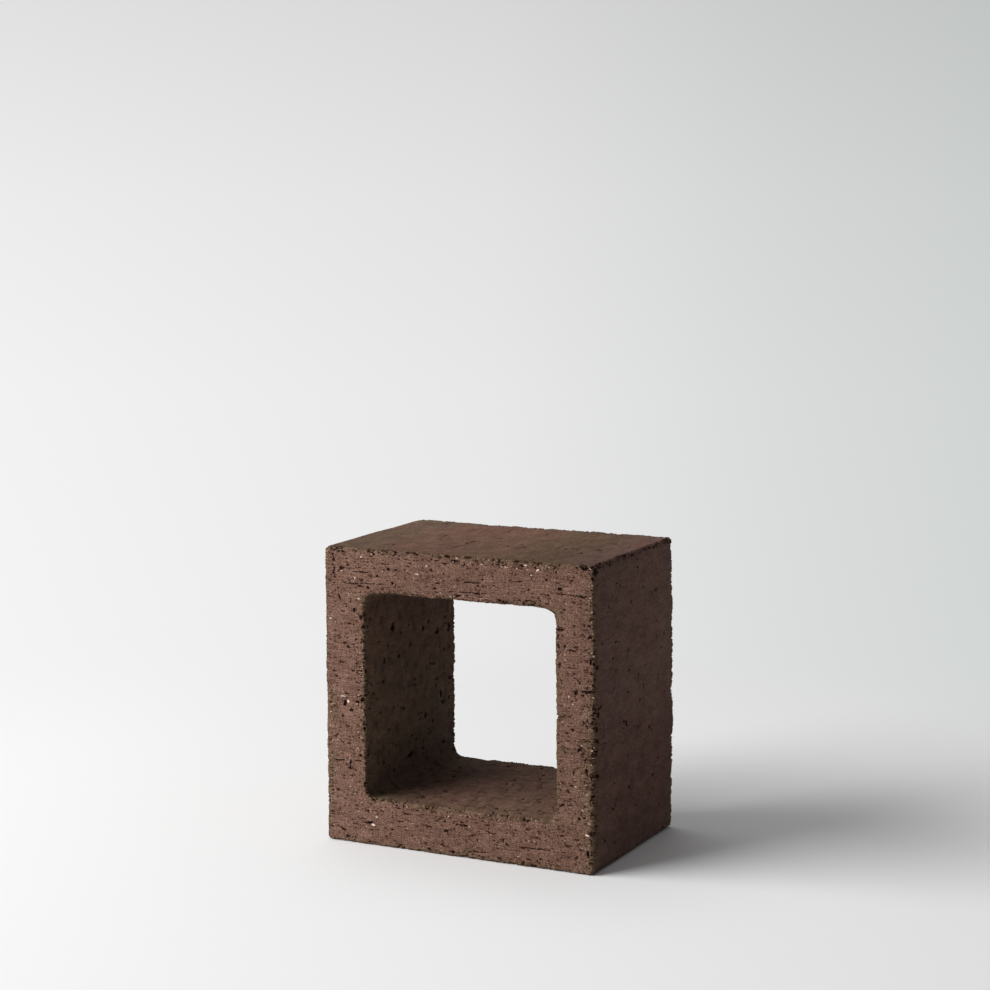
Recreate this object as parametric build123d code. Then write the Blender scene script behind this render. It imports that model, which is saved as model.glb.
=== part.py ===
"""Clay screen block: one fired piece, a thick square frame around a single rounded opening."""
import os
from math import sqrt

from build123d import *

# The block over its fullest points, in millimetres. The front is at -Y and the opening runs along Y.
WIDTH = 190.0
HEIGHT = 192.0
DEPTH = 122.0

# Walls around the opening. The floor is the thickest, because the wet clay settled on it.
WALL_LEFT = 29.3
WALL_RIGHT = 26.5
WALL_TOP = 28.5
WALL_BOTTOM = 31.0

# The column left the die with rounded long arrises, and its sides moved while it dried:
# the left one leans in towards the top and the right one bellies out.
ARRIS_RADIUS = 3.0
OPENING_RADIUS = 8.5
LEFT_LEAN = 1.3
RIGHT_BELLY = 0.9

# The wet cut arrises softened as the block was handled, so both cut faces have rounded edges.
CUT_ARRIS_RADIUS = 1.5

# One back corner is rubbed off: how far along its edges, and the roundness of the rubbed place.
CORNER_WEAR = 4.5
CORNER_WEAR_RADIUS = 12.0

# The largest tears that grit dragged under the wire opened in the front face. Each is a shallow
# boat-shaped slot. Its middle is measured inwards from the two outer sides it lies nearest.
# (side, inwards from it, end, inwards from it, tilt in degrees, length, width, depth)
TEARS = [
    ("left", 8.3, "top", 11.0, 88.0, 20.0, 1.4, 1.6),
    ("left", 21.3, "top", 23.0, 0.0, 10.0, 0.9, 1.2),
    ("left", 35.0, "top", 22.3, 2.0, 18.0, 0.6, 0.8),
    ("right", 16.5, "top", 18.9, -2.0, 23.0, 1.2, 1.2),
    ("right", 78.0, "top", 16.3, 1.0, 11.0, 0.8, 0.9),
    ("right", 83.0, "top", 22.4, 3.0, 20.0, 0.6, 0.7),
    ("right", 5.0, "top", 77.7, 1.0, 20.0, 2.0, 1.8),
    ("left", 11.0, "bottom", 53.4, 5.0, 9.0, 0.8, 0.8),
    ("right", 42.0, "bottom", 12.3, 1.0, 30.0, 0.6, 0.7),
    ("right", 91.5, "bottom", 21.0, -2.0, 11.0, 1.0, 1.1),
    ("right", 17.5, "bottom", 17.0, 8.0, 6.0, 0.7, 0.7),
    ("right", 80.0, "bottom", 5.2, 4.0, 13.0, 0.8, 0.8),
]


def left_side(z):
    """Where the leaning left side stands at the height z."""
    return -WIDTH / 2 + LEFT_LEAN * z / HEIGHT


def outline():
    """The outer section: flat bed and top, a leaning left side and a bellied right side."""
    right_corner = WIDTH / 2 - RIGHT_BELLY
    bed = Line((left_side(0), 0), (right_corner, 0))
    right = ThreePointArc((right_corner, 0), (WIDTH / 2, HEIGHT / 2), (right_corner, HEIGHT))
    top = Line((right_corner, HEIGHT), (left_side(HEIGHT), HEIGHT))
    left = Line((left_side(HEIGHT), HEIGHT), (left_side(0), 0))
    section = make_face(bed + right + top + left)
    return fillet(section.vertices(), ARRIS_RADIUS)


def opening():
    """The opening's section, one wall inside the outline and rounded at its corners."""
    floor = WALL_BOTTOM
    roof = HEIGHT - WALL_TOP
    right = WIDTH / 2 - WALL_RIGHT
    section = make_face(Polyline(
        (left_side(floor) + WALL_LEFT, floor),
        (right, floor),
        (right, roof),
        (left_side(roof) + WALL_LEFT, roof),
        close=True,
    ))
    return fillet(section.vertices(), OPENING_RADIUS)


def cut_column():
    """A length of the extruded column, with the arrises of its two wire-cut faces broken."""
    section = Plane.XZ * (outline() - opening())
    column = extrude(section, DEPTH / 2, both=True)
    by_depth = column.faces().sort_by(Axis.Y)
    cut_edges = by_depth[0].edges() + by_depth[-1].edges()
    return fillet(cut_edges, CUT_ARRIS_RADIUS)


def rubbed_corner():
    """What is worn away outside a ball that passes CORNER_WEAR along each edge of the corner."""
    inset = (CORNER_WEAR + sqrt(3 * CORNER_WEAR_RADIUS ** 2 - 2 * CORNER_WEAR ** 2)) / 3
    reach = 2 * CORNER_WEAR
    corner = Box(reach, reach, reach)
    ball = Pos(-inset, -inset, -inset) * Sphere(CORNER_WEAR_RADIUS)
    return Pos(WIDTH / 2 - RIGHT_BELLY, DEPTH / 2, HEIGHT) * (corner - ball)


def tear(side, from_side, end, from_end, tilt, length, width, depth):
    """The rim of a large thin disc, dipped into the front face."""
    x = left_side(0) + from_side if side == "left" else WIDTH / 2 - from_side
    z = from_end if end == "bottom" else HEIGHT - from_end
    radius = (length ** 2 / 4 + depth ** 2) / (2 * depth)
    return Pos(x, -DEPTH / 2 + depth - radius, z) * Rot(0, -tilt, 0) * Cylinder(radius, width)


screen_block = cut_column() - rubbed_corner()
for mark in TEARS:
    screen_block -= tear(*mark)

os.makedirs("parts", exist_ok=True)
export_step(screen_block, "parts/screen_block.step")
print("volume in litres:", round(screen_block.volume / 1e6, 4))
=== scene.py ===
from math import cos, pi, radians, sin

import bmesh
import bpy
import numpy as np
from mathutils import Matrix, Vector


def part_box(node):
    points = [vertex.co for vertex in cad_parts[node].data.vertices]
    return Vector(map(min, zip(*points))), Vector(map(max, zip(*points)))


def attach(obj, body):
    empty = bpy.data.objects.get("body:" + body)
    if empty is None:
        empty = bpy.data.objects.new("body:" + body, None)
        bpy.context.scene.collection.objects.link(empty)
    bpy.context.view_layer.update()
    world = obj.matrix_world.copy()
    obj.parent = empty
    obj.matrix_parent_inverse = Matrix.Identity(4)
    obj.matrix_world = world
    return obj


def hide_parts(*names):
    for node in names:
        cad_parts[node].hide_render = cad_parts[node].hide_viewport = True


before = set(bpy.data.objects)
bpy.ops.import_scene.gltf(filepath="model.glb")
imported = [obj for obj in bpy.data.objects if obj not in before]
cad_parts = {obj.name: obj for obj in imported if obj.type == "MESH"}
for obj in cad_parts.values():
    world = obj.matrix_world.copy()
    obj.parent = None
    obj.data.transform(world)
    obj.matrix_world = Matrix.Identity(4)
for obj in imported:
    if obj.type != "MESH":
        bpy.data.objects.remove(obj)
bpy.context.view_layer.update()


# The clay column
# The block is one length of an extruded column of dark brown clay, with a wall right round its
# opening. The column's outer side and its opening are two closed loops of points, side by side.
MM = 0.001
low, high = (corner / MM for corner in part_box("screen_block"))
WALL_LEFT = 29.3
WALL_RIGHT = 26.5
WALL_TOP = 28.5
WALL_BOTTOM = 31.0
ARRIS_RADII = (3.0, 3.0, 4.0, 3.0)
OPENING_RADII = (8.5, 9.5, 8.0, 7.0)
# The lean and the belly, and how far out from the middle each of them takes hold.
LEFT_LEAN = 1.3
RIGHT_BELLY = 0.9
LEANS_BEYOND = 60.0
BELLIES_FROM = 80.0
BELLIES_TO = 90.0
ALONG_SIDE = 420
ROUND_CORNER = 28


def rounded_loop(x0, x1, z0, z1, radii):
    """Points and outward directions round a rounded rectangle, from the left end of its bottom.

    The radii are those of the lower right, upper right, upper left and lower left corners.
    """
    radii = np.array(radii)
    corners = np.array([(x1, z0), (x1, z1), (x0, z1), (x0, z0)])
    inwards = np.array([(-1, 1), (-1, -1), (1, -1), (1, 1)])
    centres = corners + inwards * radii[:, None]
    points = []
    directions = []
    for turn in range(4):
        facing = (turn - 1) * pi / 2
        outward = np.array([cos(facing), sin(facing)])
        start = centres[turn - 1] + outward * radii[turn - 1]
        stop = centres[turn] + outward * radii[turn]
        share = np.arange(ALONG_SIDE)[:, None] / ALONG_SIDE
        points.append(start * (1 - share) + stop * share)
        directions.append(np.broadcast_to(outward, (ALONG_SIDE, 2)))
        angle = facing + np.arange(ROUND_CORNER) / ROUND_CORNER * pi / 2
        ray = np.stack([np.cos(angle), np.sin(angle)], -1)
        points.append(centres[turn] + ray * radii[turn])
        directions.append(ray)
    return np.concatenate(points), np.concatenate(directions)


def dried(loop):
    """The loop as it dried, with its left side leaning in at the top and its right side bellied."""
    moved = loop.copy()
    x, z = loop.T
    moved[:, 0] += LEFT_LEAN * z / high.z * np.clip(-x / LEANS_BEYOND, 0, 1)
    from_middle = (z - high.z / 2) / (high.z / 2)
    bellied = np.clip((x - BELLIES_FROM) / (BELLIES_TO - BELLIES_FROM), 0, 1)
    moved[:, 0] -= RIGHT_BELLY * from_middle ** 2 * bellied
    return moved


def run_along(loop):
    """How far along the closed loop each of its points lies, and the loop's whole length."""
    gaps = np.linalg.norm(np.roll(loop, -1, 0) - loop, axis=1)
    return np.cumsum(gaps) - gaps, gaps.sum()


outer, outer_out = rounded_loop(-high.x, high.x, 0, high.z, ARRIS_RADII)
outer = dried(outer)
outer_run, outer_length = run_along(outer)
inner, inner_out = rounded_loop(
    -high.x + WALL_LEFT, high.x - WALL_RIGHT, WALL_BOTTOM, high.z - WALL_TOP, OPENING_RADII
)
inner = dried(inner)
inner_out = -inner_out
inner_run, inner_length = run_along(inner)


# Softened arrises
# The cut arrises were still wet when the wire had passed. They slumped and rubbed to a round of
# one to two millimetres, and a little more low on the right, where the block was handled.
CELL = 0.25
FINE_WAVE = 2.5
BROAD_WAVE = 12.0
JAG_WAVE = 0.9
rng = np.random.default_rng(1907)


def wandering(run, length, wave):
    """Random unevenness along a closed line, with a spread of one and waves of about this length."""
    count = round(length / CELL)
    kept = np.exp(-(np.fft.rfftfreq(count, CELL) * wave) ** 2)
    line = np.fft.irfft(np.fft.rfft(rng.standard_normal(count)) * kept, count)
    return np.interp(run, np.arange(count) * CELL, line / line.std(), period=length)


def along_arris(loop, run, length, typical, fine, broad, places, jag=0.0):
    """A size that wanders round a cut arris. A place adds to it there: (x, z, length, more)."""
    size = typical + fine * wandering(run, length, FINE_WAVE)
    size = size + broad * wandering(run, length, BROAD_WAVE)
    size += jag * wandering(run, length, JAG_WAVE)
    for place_x, place_z, place_length, more in places:
        away = np.linalg.norm(loop - np.array([place_x, place_z]), axis=1)
        size += more * np.exp(-(2 * away / place_length) ** 4)
    return size


# Where the outer front arris is rounder, or sharper, than elsewhere: (x, z, length, more radius).
HANDLED = [(95, 52, 92, 1.0), (95, 20, 30, 0.4), (-95, 60, 120, 0.4), (0, 192, 150, -0.3)]
# An arris's radius: typical, its fine and its broad unevenness, the least and the most.
OUTER_FRONT_ROUND = (1.5, 0.1, 0.25, 0.6, 4.5)
INNER_FRONT_ROUND = (1.5, 0.2, 0.4, 0.5, 3.0)
OUTER_BACK_ROUND = (1.4, 0.15, 0.3, 0.5, 2.8)
INNER_BACK_ROUND = (1.6, 0.25, 0.4, 0.5, 3.0)


def arris_radius(loop, run, length, sizes, places):
    """The radius all round one cut arris."""
    typical, fine, broad, least, most = sizes
    return np.clip(along_arris(loop, run, length, typical, fine, broad, places), least, most)


outer_front = arris_radius(outer, outer_run, outer_length, OUTER_FRONT_ROUND, HANDLED)
inner_front = arris_radius(inner, inner_run, inner_length, INNER_FRONT_ROUND, [])
outer_back = arris_radius(outer, outer_run, outer_length, OUTER_BACK_ROUND, [])
inner_back = arris_radius(inner, inner_run, inner_length, INNER_BACK_ROUND, [])

# The net of points that the block is made from runs round the opening, one way, and through the
# wall, the other: outer side, front cut face, inside of the opening, back cut face. A row of this
# table is one stop on the way through the wall. It gives the share of the way from the outer loop
# to the inner one, from front to back, and how far the arris has turned under the skin's line and
# behind the cut face, in radii, with how far the stop counts as skin and as cut face.
THROUGH = 200
ACROSS_WALL = 88
OVER_ARRIS = 12
through_share = np.arange(THROUGH) / THROUGH
across_share = np.arange(ACROSS_WALL) / ACROSS_WALL
quarter = np.arange(OVER_ARRIS) / OVER_ARRIS * pi / 2


def stretch(share, backward, angle):
    """One stretch of the way, where the angle is 0 on a skin and a quarter turn on a cut face."""
    row = (share, backward, 1 - np.cos(angle), 1 - np.sin(angle), np.cos(angle), np.sin(angle))
    return np.stack(np.broadcast_arrays(*row), -1).astype(float)


way = np.concatenate([
    stretch(0, 1 - through_share, 0),
    stretch(0, 0, quarter),
    stretch(across_share, 0, pi / 2),
    stretch(1, 0, pi / 2 - quarter),
    stretch(1, through_share, 0),
    stretch(1, 1, quarter),
    stretch(1 - across_share, 1, pi / 2),
    stretch(0, 1, pi / 2 - quarter),
])
share, backward, turned_under, turned_back, is_skin, is_cut = way.T
is_front = backward < 0.5
is_inner = share > 0.5
outer_radius = np.where(is_front, outer_front[:, None], outer_back[:, None])
inner_radius = np.where(is_front, inner_front[:, None], inner_back[:, None])
outer_line = outer[:, None] - outer_out[:, None] * (outer_radius * turned_under)[..., None]
inner_line = inner[:, None] - inner_out[:, None] * (inner_radius * turned_under)[..., None]
section = outer_line * (1 - share[:, None]) + inner_line * share[:, None]
x, z = section[..., 0], section[..., 1]
front_radius = np.where(is_inner, inner_front[:, None], outer_front[:, None])
back_radius = np.where(is_inner, inner_back[:, None], outer_back[:, None])
front_y = -high.y + front_radius * turned_back
back_y = high.y - back_radius * turned_back
y = front_y * (1 - backward) + back_y * backward


# Relief of the fired clay
# Height maps in millimetres, a quarter of a millimetre to a cell. The wire dragged the cut faces
# level and tore grit out. The die dragged the skins, front to back, and opened pits in them.


def uneven(width, height, along, across):
    """A map of smooth random unevenness with a spread of one, and waves of about these lengths."""
    shape = (round(height / CELL), round(width / CELL))
    frequency_up = np.fft.fftfreq(shape[0], CELL)[:, None]
    frequency_along = np.fft.rfftfreq(shape[1], CELL)
    kept = np.exp(-(frequency_along * along) ** 2 - (frequency_up * across) ** 2)
    field = np.fft.irfft2(np.fft.rfft2(rng.standard_normal(shape)) * kept, shape)
    return field / field.std()


def layered(width, height, layers):
    """A map of several kinds of unevenness, each (spread, wave along, wave across)."""
    return sum(spread * uneven(width, height, along, across) for spread, along, across in layers)


def read_map(field, u, v):
    """The map's values at u along and v up, in millimetres from its corner. The map wraps round."""
    rows, columns = field.shape
    column = np.floor(u / CELL).astype(int)
    row = np.floor(v / CELL).astype(int)
    right = u / CELL - column
    up = v / CELL - row
    lower = field[row % rows, column % columns] * (1 - right)
    lower += field[row % rows, (column + 1) % columns] * right
    upper = field[(row + 1) % rows, column % columns] * (1 - right)
    upper += field[(row + 1) % rows, (column + 1) % columns] * right
    return lower * (1 - up) + upper * up


# A mark is deeper the taller it is, from the shallowest on, and its rim wanders in and out.
SHALLOWEST = 0.15
MARK_REACH = 0.75
MARK_RAGGED = 0.75


def opened(marks, ragged, steepness):
    """A map of how deep the marks are torn. A mark is (u, v, length, height, turn in degrees)."""
    torn = np.zeros_like(ragged)
    for u, v, length, height, turn in marks:
        depth = SHALLOWEST + steepness * height
        reach = MARK_REACH * length + 2 * CELL
        columns = np.arange(int((u - reach) / CELL), int((u + reach) / CELL) + 1)
        rows = np.arange(int((v - reach) / CELL), int((v + reach) / CELL) + 1)
        right, up = np.meshgrid(columns * CELL - u, rows * CELL - v)
        along = right * cos(radians(turn)) + up * sin(radians(turn))
        across = up * cos(radians(turn)) - right * sin(radians(turn))
        place = np.ix_(rows % torn.shape[0], columns % torn.shape[1])
        rim = (2 * along / length) ** 2 + (2 * across / height) ** 2 + MARK_RAGGED * ragged[place]
        hollow = depth * np.sqrt(np.clip(1 - rim, 0, 1))
        torn[place] = np.maximum(torn[place], hollow)
    return torn


# A place's chance of a mark: the even part, the part that crowds, and the least. Then come the
# shorter tears across a mark, as shares of its length and its height.
EVEN_CHANCE = 0.25
CROWDED_CHANCE = 0.35
LEAST_CHANCE = 0.04
MOST_TWIGS = 2
TWIG_TILT = 50
TWIG_HEIGHT = 0.7
TWIG_LENGTHS = (0.3, 0.6)
TWIG_BESIDE = 0.5
TWIG_ABOVE = 0.7


def scattered(count, clusters, lengths, heights, tilt):
    """Random marks, more small ones than large, and most of them where the clusters' map is high.

    A mark often has one or two shorter tears across it, so that it looks like a broken twig.
    """
    marks = []
    height, width = np.array(clusters.shape) * CELL
    while len(marks) < count:
        place = (rng.random() * width, rng.random() * height)
        crowding = clusters[int(place[1] / CELL), int(place[0] / CELL)]
        if rng.random() < np.clip(EVEN_CHANCE + CROWDED_CHANCE * crowding, LEAST_CHANCE, 1):
            length = lengths[0] * (lengths[1] / lengths[0]) ** rng.random()
            tall = heights[0] * (heights[1] / heights[0]) ** rng.random()
            marks.append((*place, length, min(tall, length), rng.normal(0, tilt)))
            for _ in range(rng.integers(0, MOST_TWIGS + 1)):
                beside = place[0] + rng.uniform(-TWIG_BESIDE, TWIG_BESIDE) * length
                above = place[1] + rng.uniform(-TWIG_ABOVE, TWIG_ABOVE) * tall
                twig = length * rng.uniform(*TWIG_LENGTHS)
                marks.append((beside, above, twig, TWIG_HEIGHT * tall, rng.normal(0, TWIG_TILT)))
    return marks


FLAT = (0.3, 0.6)
ROUNDER = (0.3, 0.7)


def pit(place, length, shape, tilt, facing=0):
    """A mark whose height is a random share of its length, turned at random about one direction."""
    return (*place, length, length * rng.uniform(*shape), facing + rng.normal(0, tilt))


# The front's larger marks as they lie on this block: (x, z, length, height, turn).
FRONT_MARKS = [
    (-88.2, 189.5, 2, 1.3, 80), (-87.4, 186.8, 2.4, 1.2, 95), (-88.4, 184.6, 1.4, 0.9, 60),
    (-86.8, 183.4, 2.6, 1.6, 85), (-87.6, 180.4, 2.2, 1.1, 100), (-86.4, 177.6, 2.2, 1.3, 80),
    (-87, 174.8, 1.9, 1, 90), (-85.8, 172.2, 1.7, 0.9, 110), (-84, 191, 2.4, 1.8, 0),
    (-81, 178.5, 3, 1.5, 0), (-75.5, 178.5, 8, 0.6, 0), (-75, 171.5, 3.5, 1, 0), (-73.5, 168.9, 10, 1, 0),
    (-60, 169.7, 18, 0.8, 2), (-61.4, 190, 2, 1.6, 60), (-58, 188.8, 1.6, 1.4, 0),
    (-50.6, 182.8, 4, 0.9, 0), (-47.2, 180, 1.8, 1.6, 0), (-44.4, 171.2, 1.8, 1.6, 0),
    (-42, 191.5, 3, 1.6, 0), (-83, 160, 4, 0.9, -65), (-72, 152, 3, 1.6, 0), (-76.5, 143, 2.5, 1.3, 0),
    (-77, 128, 2, 1.9, 0), (-79.5, 130, 3.5, 0.8, 0), (-71.2, 117, 2, 1.8, 80), (-74, 112.5, 3, 0.9, 0),
    (-86.3, 108, 4, 0.9, 10), (-70, 96.5, 4, 1.3, 0), (-71, 92.6, 3, 1.4, 0), (-80, 91.5, 3.8, 2, 85),
    (-82.2, 82.5, 2.4, 1.3, 80), (-84, 53.4, 9, 1, 5), (-76.7, 52, 4.4, 1.2, 85), (-77, 49, 3, 1.5, 0),
    (-71, 54.3, 5, 0.8, 0), (-66, 141, 2.6, 2.2, 85), (-67.5, 147, 3, 2, 70), (-66.5, 126, 1.6, 1.4, 0),
    (-68, 113, 3, 1.2, 20), (-67.5, 94, 3, 2, 60), (-66.2, 75.5, 2.2, 1.6, 80), (-66.4, 39, 2.6, 1.8, 85),
    (-65, 34.2, 2.4, 1.6, -40), (-62.8, 32, 2, 1.3, 0), (-60.5, 29.8, 2.2, 1.5, 0),
    (-58.2, 31, 1.8, 1.4, 85), (-54, 30.8, 1.7, 1.3, 0), (-47.8, 30.9, 1.6, 1.2, 0),
    (-44.3, 30.5, 2.2, 1.4, 0), (-41.8, 31, 1.5, 1.1, 0), (-37, 31, 1.8, 1, 0), (-90.5, 18.7, 4, 0.9, 0),
    (-62.8, 14.2, 4, 1.7, 0), (-65.5, 22.5, 3.4, 1.1, 0), (-83, 8, 4, 1.6, -25),
    (-36.3, 23.5, 3.6, 1.4, 0), (-40.8, 17.8, 3.4, 1, 0), (-47, 12, 3, 1, 0), (-78.8, 3.4, 2.6, 1.4, 0),
    (-31, 191.5, 6, 1.3, 0), (-5, 191, 4.5, 1.5, 0), (-7, 186.5, 5, 0.7, 0), (-16.5, 181.5, 2.4, 1.7, 80),
    (-12.5, 173.6, 3, 0.9, 0), (9, 191.4, 5, 1.3, 0), (14, 189.5, 2.6, 1.5, 0), (12, 175.7, 11, 0.9, 0),
    (12, 169.4, 19, 0.8, 2), (2, 166.6, 3.4, 1.2, 20), (31, 166, 2.8, 1.3, 0), (47.3, 188, 2.6, 1.2, 85),
    (47, 166, 2.8, 1.8, -30), (53, 164, 5, 1.1, 5), (34, 165, 4, 1.2, 0), (58, 165, 2.4, 1, 0),
    (43, 191.4, 3, 1.2, 0), (56.7, 191, 3.4, 1.4, 0), (62.8, 181.2, 2.2, 1.4, 0),
    (80, 181.8, 3.4, 1.1, 0), (88.5, 190, 3.4, 2, 0), (70.5, 179.7, 2.6, 1.1, 0),
    (71.7, 176.3, 2, 1.7, 0), (77, 173, 20, 0.9, -2), (86.3, 172.8, 6.4, 1.5, 0), (74.3, 163.8, 4, 1, 0),
    (75, 141, 2.2, 1.2, 85), (80, 139, 5, 1, 0), (83.5, 141, 2.6, 1.1, 85), (92.3, 133, 4, 1.6, 85),
    (81.5, 124.9, 2.4, 1.2, 0), (84.6, 120, 3, 1.1, -40), (82.4, 113.6, 2.8, 1.7, 80),
    (89, 114.4, 13, 1.5, 1), (82.3, 109, 2.6, 1.3, 80), (88.6, 93.4, 5, 1.2, -10),
    (84.8, 78.3, 3.4, 1.6, 45), (89.3, 65.5, 3.2, 1.7, 85), (80.6, 63.8, 3, 0.9, 85),
    (79.5, 55, 3.4, 1, 0), (76.5, 51.9, 3.2, 1, 0), (72.8, 42.2, 3.6, 1.1, 30), (92.5, 48.5, 3, 1.7, 60),
    (84.3, 34.8, 2.2, 1.4, 80), (92, 26.3, 3.4, 1.2, 0), (90, 13.8, 3, 1.9, 60), (77.5, 16.9, 6, 0.9, 8),
    (82.5, 10, 2.4, 1.4, 40), (3.5, 21, 11, 1.1, -2), (2.5, 22.8, 4, 0.9, 0), (-8.8, 21.8, 2, 1.2, 80),
    (-8, 16, 3, 1.5, 0), (14, 5.3, 14, 0.9, 4), (10.5, 15, 8, 0.7, 8), (24.7, 18.4, 4.8, 1, 0),
    (-3.5, 3, 3.8, 1.8, 0), (53, 12.3, 28, 0.7, 1), (32.2, 15, 3, 1, 85), (35, 12.6, 3, 1.2, -40),
    (49.3, 24, 3.2, 1.4, 0), (49, 29.3, 3.4, 1.3, 30), (46.5, 30, 2.2, 1.2, 0), (53.5, 1.4, 4, 1.6, 0),
    (5.5, 1, 4.4, 1.2, 0), (-12, 22.8, 3.4, 0.9, 0),
]
# Strips where the front's clay crumbled: (from x, to x, from z, to z, pits in it).
CRUMBLY_STRIPS = [
    (-8, 72, 186.5, 191.2, 56), (-72, -66.5, 60, 150, 70), (86, 94, 20, 112, 60),
    (-60, 62, 27.2, 30.8, 30), (-45, 62, 163.8, 166.4, 30), (-62, -38, 188.6, 191.4, 14),
    (76, 94, 188, 191.4, 10), (91.5, 94, 40, 185, 35),
]
MARKS_A_FACE = 800
MARK_CLUSTERS = (14, 9)
MARK_LENGTHS = (1.1, 5.0)
MARK_HEIGHTS = (0.45, 1.1)
MARK_TILT = 7
MARKS_AT_ARRIS = 150
SHARE_AT_OUTER_ARRIS = 0.6
FROM_ARRIS = (0.4, 4.5)
ARRIS_PIT_LENGTHS = (0.9, 2.6)
ARRIS_PIT_TILT = 35
CRUMB_LENGTHS = (0.8, 2.0)
CRUMB_TILT = 50
CUT_STEEPNESS = 0.62
CUT_RAGGED = [(0.75, 0.8, 0.6), (0.75, 2.2, 0.5)]
CUT_WAVES = [(0.1, 60, 40), (0.03, 14, 5)]
face_ragged = layered(2 * high.x, high.z, CUT_RAGGED)


def at_arris(count):
    """Random pits within a few millimetres of the outer and inner arrises of a cut face."""
    marks = []
    for _ in range(count):
        loop = outer if rng.random() < SHARE_AT_OUTER_ARRIS else inner
        into_wall = -outer_out if loop is outer else -inner_out
        spot = rng.integers(len(loop))
        place = loop[spot] + into_wall[spot] * rng.uniform(*FROM_ARRIS)
        marks.append(pit(place, rng.uniform(*ARRIS_PIT_LENGTHS), FLAT, ARRIS_PIT_TILT))
    return marks


def on_sheet(marks):
    """Marks given by x and z, moved to the corner that a cut face's map starts from."""
    return [(u + high.x, v, *rest) for u, v, *rest in marks]


def cut_face_map(own_marks, crumbly_strips):
    """The torn depth and the height of one cut face, over x and z."""
    clusters = uneven(2 * high.x, high.z, *MARK_CLUSTERS)
    marks = on_sheet(own_marks)
    marks += scattered(MARKS_A_FACE, clusters, MARK_LENGTHS, MARK_HEIGHTS, MARK_TILT)
    marks += on_sheet(at_arris(MARKS_AT_ARRIS))
    for x0, x1, z0, z1, count in crumbly_strips:
        for _ in range(count):
            place = (rng.uniform(x0, x1) + high.x, rng.uniform(z0, z1))
            marks.append(pit(place, rng.uniform(*CRUMB_LENGTHS), FLAT, CRUMB_TILT))
    torn = opened(marks, face_ragged, CUT_STEEPNESS)
    return torn, layered(2 * high.x, high.z, CUT_WAVES)


front_torn, front_height = cut_face_map(FRONT_MARKS, CRUMBLY_STRIPS)
back_torn, back_height = cut_face_map([], CRUMBLY_STRIPS[:2])

# The larger pits of the skins: (x, z, y, length, width, turn from the die's direction). The front
# arris of the right side crumbled, so it gets a row of smaller ones.
OUTER_MARKS = [
    (95, 162.5, 33, 3, 1.7, -20), (95, 161, -6, 2.8, 1.2, -10), (95, 140, -30, 3, 1.3, 0),
    (95, 131.6, -10, 2.8, 1.3, -15), (95, 130.5, -34, 2.4, 1.3, 0), (95, 122, -28, 3.2, 1.3, 10),
    (95, 174, -22, 3, 1.2, 15), (95, 176, -27, 2.4, 1.1, 0), (95, 118.5, -10, 2.6, 1.3, 0),
    (95, 85.6, -14, 4, 2.4, 35), (95, 87.5, -18, 2.6, 1.4, 0), (95, 83.5, -19, 2.2, 1.2, 0),
    (95, 79, 5, 3, 1.4, -20), (95, 80.5, 0, 2.4, 0.9, -25), (95, 75.6, 22, 3, 1.8, -10),
    (95, 44, -8.5, 3.2, 2, 0), (95, 47.6, -5, 2.2, 1, 0), (95, 43, 28, 2.6, 1.5, 0),
    (95, 52, 36, 2.8, 1.6, 0), (95, 93, 46, 2.4, 1.4, 0), (95, 88, 22, 2.8, 1.1, 0),
    (95, 107, 37, 3.4, 0.8, 0), (95, 105, -12, 2.6, 1.2, 0), (95, 124, 41, 2.4, 1, 0),
    (95, 100, 15, 2, 0.9, 0), (95, 37, -30, 2.2, 1, 0), (95, 18.5, -20, 2, 1.2, 20),
    (95, 104, -53, 7, 1.8, -12), (95, 100, -56, 4, 3, 60), (95, 129, -57, 4, 2.4, 0),
    (95, 84, -57, 4, 2.4, 20), (95, 62, -57, 4, 2.4, 0), (95, 31, -57, 3, 1.6, 0),
    (95, 91, -58, 4, 2.6, 0), (95, 78, -58, 3, 2.6, 0), (72.5, 192, -5, 3, 2.4, 20),
    (68, 192, -21, 2.8, 2, 0), (-42, 192, 7, 2.8, 2.2, 0), (-72, 192, 0, 2.6, 1.6, 0),
    (-12, 192, 38, 2.6, 2, 30), (25, 192, 30, 2.2, 1.5, 30), (-5, 192, 12, 2.4, 1.7, 0),
    (85, 192, 12, 2.6, 1.4, 0), (-54.5, 192, -40, 3, 1.8, 0), (-59, 192, -40, 2.6, 1.6, 0),
    (15, 192, -16, 3, 1.2, 0), (53, 192, -12, 2.6, 1.4, 0), (-14, 192, -28, 44, 0.6, 2),
    (-14.5, 192, -10, 9, 1.1, 0), (13, 192, -14, 6, 0.8, 4), (-88, 192, -22, 3, 1.6, 0),
    (95, 187.5, -57, 5, 4, 0), (95, 190, -51, 4, 1.6, 0),
]
RIGHT_SIDE = 95
FRONT_END = -61
CRUMBLED_PITS = 50
CRUMBLED_HEIGHTS = (42.0, 188.0)
CRUMBLED_DEPTH = 1.8
CRUMBLED_LENGTHS = (1.0, 2.8)
for _ in range(CRUMBLED_PITS):
    long = rng.uniform(*CRUMBLED_LENGTHS)
    place = (RIGHT_SIDE, rng.uniform(*CRUMBLED_HEIGHTS), FRONT_END + rng.exponential(CRUMBLED_DEPTH))
    OUTER_MARKS.append((*place, long, long * rng.uniform(*ROUNDER), rng.uniform(0, 180)))
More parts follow.
